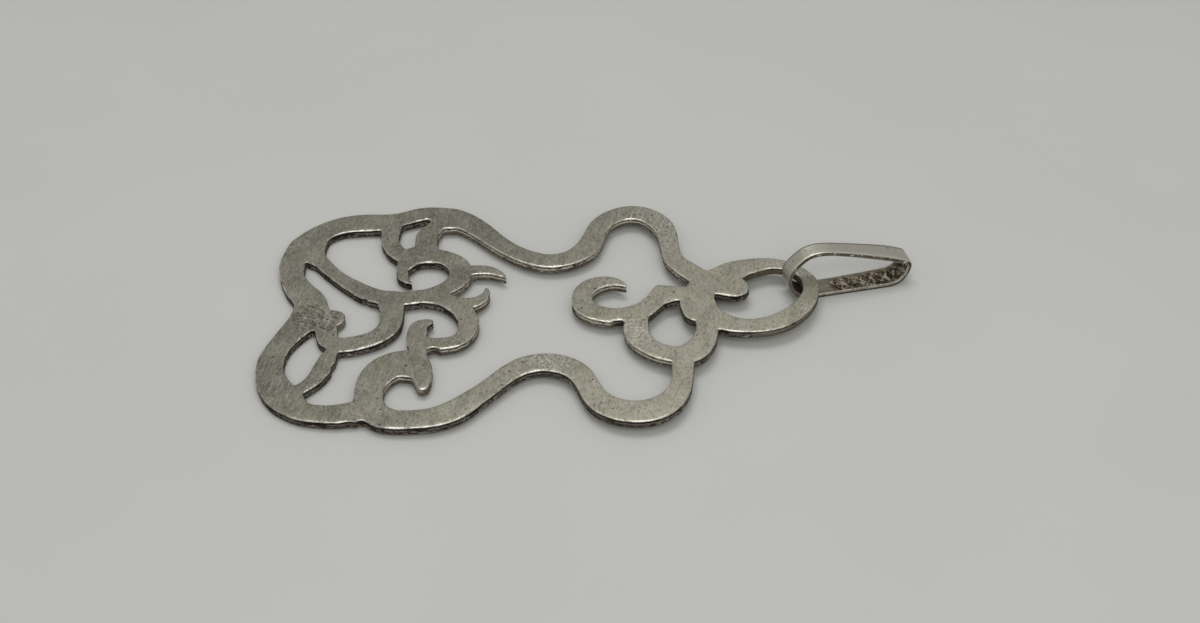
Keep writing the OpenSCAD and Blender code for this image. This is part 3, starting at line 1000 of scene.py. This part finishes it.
class BailLook(SilverLook, PropertyGroup):
    """Sizes and tones of the bent strip."""

    cut: colour("Cut edge", "Tone of the cut edge where it stands off the surface", (0.115, 0.10, 0.075))
    # Inner and bend also carry painted shade inside the bail and where the strip bends under the loop
    inner: colour("Inner face", "Tone inside the bail, along its far edge", (0.15, 0.13, 0.092))
    bend: colour("Bend", "Light tone of the cut edge where it bends through the loop", (0.22, 0.195, 0.15))
    # Crust dark is also the painted shade inside the bend under the loop and on the crust's shaded slopes
    hollow_dark: colour("Crust dark", "Dark tone of the crust inside the bail", (0.030, 0.020, 0.011))
    hollow_mid: colour("Crust brown", "Middle tone of the crust inside the bail", (0.15, 0.115, 0.072))
    hollow_light: colour("Crust light", "Light tone of the crust inside the bail", (0.47, 0.43, 0.32))
    strip_cuts: IntProperty(name="Cuts across", description="Rows of points across a face", default=18, min=4)
    strip_step: size("Strip step", "Distance between rings of points along it", 0.07)
    strip_thick: size("Strip thickness", "Thickness of the strip", 0.45)
    strip_rim: size("Rim rounding", "Radius of the strip's rims", 0.09)
    fold_round: size("Fold rounding", "Evening of the strip's bends", 0.12)
    strip_wobble: size("Dents", "Depth of dents in the faces and edges", 0.03)
    hollow_rough: size("Hollow roughness", "Depth of the crust inside the bail", 0.12)


class StageLook(PropertyGroup):
    """Surface, lights and camera."""

    floor: colour("Surface", "Tone of the pale surface", (0.575, 0.58, 0.553))
    sky: FloatProperty(
        name="Room light",
        description="Strength of the even light from all round",
        default=0.39,
        min=0,
    )
    key: FloatProperty(
        name="Key light",
        description="Power of the large light overhead",
        default=0.31,
        min=0,
        unit="POWER",
    )
    front: FloatProperty(
        name="Front light",
        description="Power of the soft light above the viewer",
        default=0.44,
        min=0,
        unit="POWER",
    )
    elevation: FloatProperty(
        name="Camera elevation",
        description="Angle of the view above the surface",
        default=math.radians(38),
        subtype="ANGLE",
        unit="ROTATION",
    )
    distance: FloatProperty(
        name="Camera distance",
        description="From the camera to the point it looks at",
        default=0.18,
        min=0,
        subtype="DISTANCE",
        unit="LENGTH",
    )
    lens: FloatProperty(
        name="Lens",
        description="Focal length of the camera",
        default=56.7,
        min=1,
        unit="CAMERA",
    )
    aim: FloatVectorProperty(
        name="Aim",
        description="Point that the camera looks at",
        default=(0.00064, 0.00102, 0.00005),
        subtype="XYZ",
        unit="LENGTH",
    )


# Stage

SURFACE_HALF = 1.5
SENSOR_WIDTH = 36.0
# Width and depth of each lamp and its place, in metres
LAMPS = {
    "key": ((0.18, 0.14), (-0.02, 0.085, 0.31)),
    "front": ((0.40, 0.22), (0.04, -0.24, 0.26)),
}


def add_surface(look):
    bm = bmesh.new()
    bmesh.ops.create_grid(bm, x_segments=1, y_segments=1, size=SURFACE_HALF)
    mesh = bpy.data.meshes.new("surface")
    bm.to_mesh(mesh)
    bm.free()
    mesh.materials.append(pale_board(look))
    surface = bpy.data.objects.new("surface", mesh)
    bpy.context.scene.collection.objects.link(surface)


def add_lights(look):
    world = bpy.data.worlds.new("soft_room")
    world.use_nodes = True
    sky = world.node_tree.nodes["Background"]
    sky.inputs["Color"].default_value = (1.0, 0.995, 0.98, 1)
    sky.inputs["Strength"].default_value = look.sky
    bpy.context.scene.world = world
    for name, (extent, place) in LAMPS.items():
        lamp = bpy.data.lights.new(name, "AREA")
        lamp.shape = "RECTANGLE"
        lamp.size, lamp.size_y = extent
        lamp.energy = getattr(look, name)
        light = bpy.data.objects.new(name, lamp)
        light.location = place
        light.rotation_euler = (-light.location).to_track_quat("-Z", "Y").to_euler()
        bpy.context.scene.collection.objects.link(light)


def add_camera(look):
    lens = bpy.data.cameras.new("camera")
    lens.sensor_width = SENSOR_WIDTH
    lens.lens = look.lens
    lens.clip_start, lens.clip_end = 0.005, 10.0
    camera = bpy.data.objects.new("camera", lens)
    e = look.elevation
    camera.location = Vector(look.aim) + look.distance * Vector((0, -math.cos(e), math.sin(e)))
    camera.rotation_euler = (math.pi / 2 - e, 0, 0)
    bpy.context.scene.collection.objects.link(camera)
    bpy.context.scene.camera = camera


# Operators


class PENDANT_OT_plate(Operator):
    """Build the sawn plate over its CAD solid"""

    bl_idname = "pendant.plate"
    bl_label = "Sawn plate"

    def execute(self, context):
        look = context.scene.pendant_plate
        piece = build_plate(look, plate_silver(look))
        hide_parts(PLATE)
        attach(piece, SWING["parent"])
        return {"FINISHED"}


class PENDANT_OT_bail(Operator):
    """Build the bent strip bail over its CAD solid"""

    bl_idname = "pendant.bail"
    bl_label = "Strip bail"

    def execute(self, context):
        look = context.scene.pendant_bail
        piece = build_bail(look, bail_silver(look))
        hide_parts(BAIL)
        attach(piece, SWING["child"])
        return {"FINISHED"}


class PENDANT_OT_stage(Operator):
    """Add the pale surface, soft light and camera"""

    bl_idname = "pendant.stage"
    bl_label = "Stage"

    def execute(self, context):
        look = context.scene.pendant_stage
        add_surface(look)
        add_lights(look)
        add_camera(look)
        context.scene.view_settings.view_transform = "Standard"
        return {"FINISHED"}


class PENDANT_PT_sidebar(Panel):
    """Lists the operators and their settings"""

    bl_label = "Pendant"
    bl_space_type = "VIEW_3D"
    bl_region_type = "UI"
    bl_category = "Pendant"

    def draw(self, context):
        for operator in OPERATORS:
            self.layout.operator(operator.bl_idname)
        for group in (context.scene.pendant_plate, context.scene.pendant_bail, context.scene.pendant_stage):
            box = self.layout.box()
            for name in group.bl_rna.properties.keys():
                if name not in ("rna_type", "name"):
                    box.prop(group, name)


OPERATORS = (PENDANT_OT_plate, PENDANT_OT_bail, PENDANT_OT_stage)
CLASSES = (PlateLook, BailLook, StageLook, *OPERATORS, PENDANT_PT_sidebar)


def register():
    for cls in CLASSES:
        bpy.utils.register_class(cls)
    bpy.types.Scene.pendant_plate = PointerProperty(type=PlateLook)
    bpy.types.Scene.pendant_bail = PointerProperty(type=BailLook)
    bpy.types.Scene.pendant_stage = PointerProperty(type=StageLook)


def unregister():
    del bpy.types.Scene.pendant_stage, bpy.types.Scene.pendant_bail, bpy.types.Scene.pendant_plate
    for cls in reversed(CLASSES):
        bpy.utils.unregister_class(cls)


def main():
    register()
    bpy.ops.pendant.plate()
    bpy.ops.pendant.bail()
    bpy.ops.pendant.stage()


if __name__ == "__main__":
    main()
